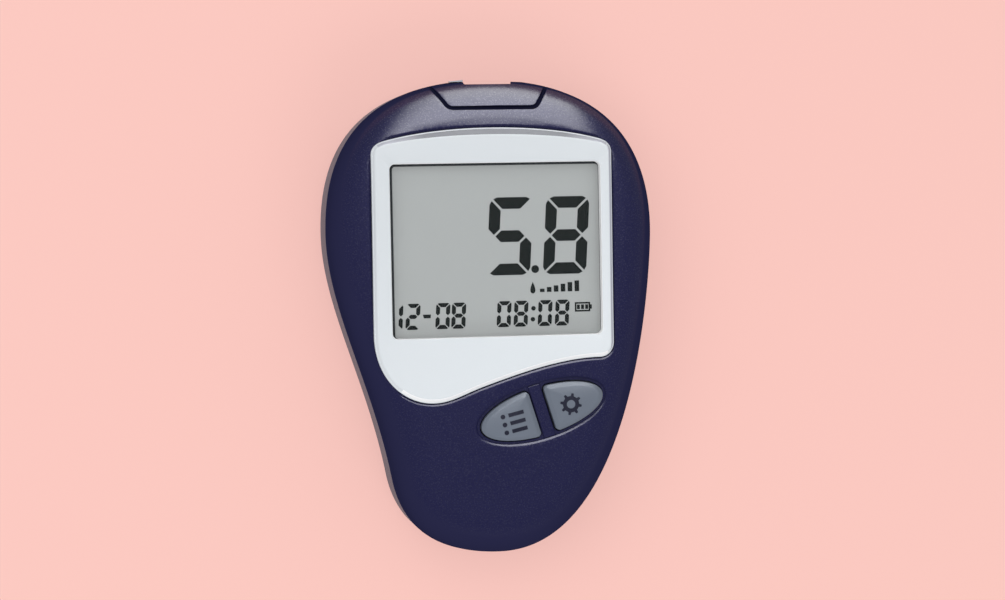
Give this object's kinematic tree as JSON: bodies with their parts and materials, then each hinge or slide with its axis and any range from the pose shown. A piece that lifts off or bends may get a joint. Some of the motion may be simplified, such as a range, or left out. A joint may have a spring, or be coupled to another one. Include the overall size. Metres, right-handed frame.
{
  "type": "blood glucose meter",
  "caption": "Egg-shaped hand-held meter with a large display window in a pale bezel, two buttons in an oval, a strip port at the wide end and a hinged battery door in its back.",
  "frame": {"origin": "under the middle of the body, on the plane of the flat back", "axes": "+Y along the body towards the strip port, +X to the right of the display, +Z out of the display"},
  "size_m": [0.0606, 0.0876, 0.0206],
  "materials": {
    "navy_plastic": "fine satin texture",
    "grey_plastic": "fine satin texture",
    "silver_plastic": "pearl silver, satin gloss",
    "clear_lens": "polished clear acrylic",
    "display_glass": "matt display polariser",
    "reflector_film": "matt film",
    "black_tape": "matt",
    "white_plastic": "matt",
    "zebra_rubber": "matt",
    "board_green": "solder mask",
    "black_plastic": "moulded",
    "chip_ceramic": "matt",
    "contact_gold": "plated",
    "button_grey": "satin",
    "screw_steel": "zinc plated",
    "cell_steel": "bright nickel"
  },
  "bodies": {
    "housing": {"front_shell": "navy_plastic", "rear_cover": "grey_plastic", "display_bezel": "silver_plastic", "display_lens": "clear_lens", "lens_tape": "black_tape", "lcd_front_glass": "display_glass", "lcd_rear_glass": "display_glass", "lcd_reflector": "reflector_film", "lcd_holder": "white_plastic", "zebra_connector": "zebra_rubber", "main_board": "board_green", "microcontroller": "black_plastic", "analog_chip": "black_plastic", "clock_crystal": "screw_steel", "chip_parts": "chip_ceramic", "buzzer": "black_plastic", "strip_connector": "white_plastic", "strip_contacts": "contact_gold", "strip_port_insert": "navy_plastic", "memory_switch": "black_plastic", "set_switch": "black_plastic", "coin_cell": "cell_steel", "positive_contact": "contact_gold", "negative_contact": "contact_gold", "case_screws": "screw_steel", "board_screws": "screw_steel"},
    "memory_key": {"memory_button": "button_grey", "memory_plunger": "white_plastic"},
    "set_key": {"set_button": "button_grey", "set_plunger": "white_plastic"},
    "door": {"battery_door": "grey_plastic"}
  },
  "joints": [
    {"name": "memory_press", "type": "slide", "parent": "housing", "child": "memory_key", "axis": [0, 0, -1], "range_m": [0, 0.0007], "stiffness_N_per_m": 1500},
    {"name": "set_press", "type": "slide", "parent": "housing", "child": "set_key", "axis": [0, 0, -1], "range_m": [0, 0.0007], "stiffness_N_per_m": 1500},
    {"name": "door_hinge", "type": "hinge", "parent": "housing", "child": "door", "pos_m": [0.0005, -0.0039, 0.0012], "axis": [1, 0, 0], "range_deg": [0, 75]}
  ]
}
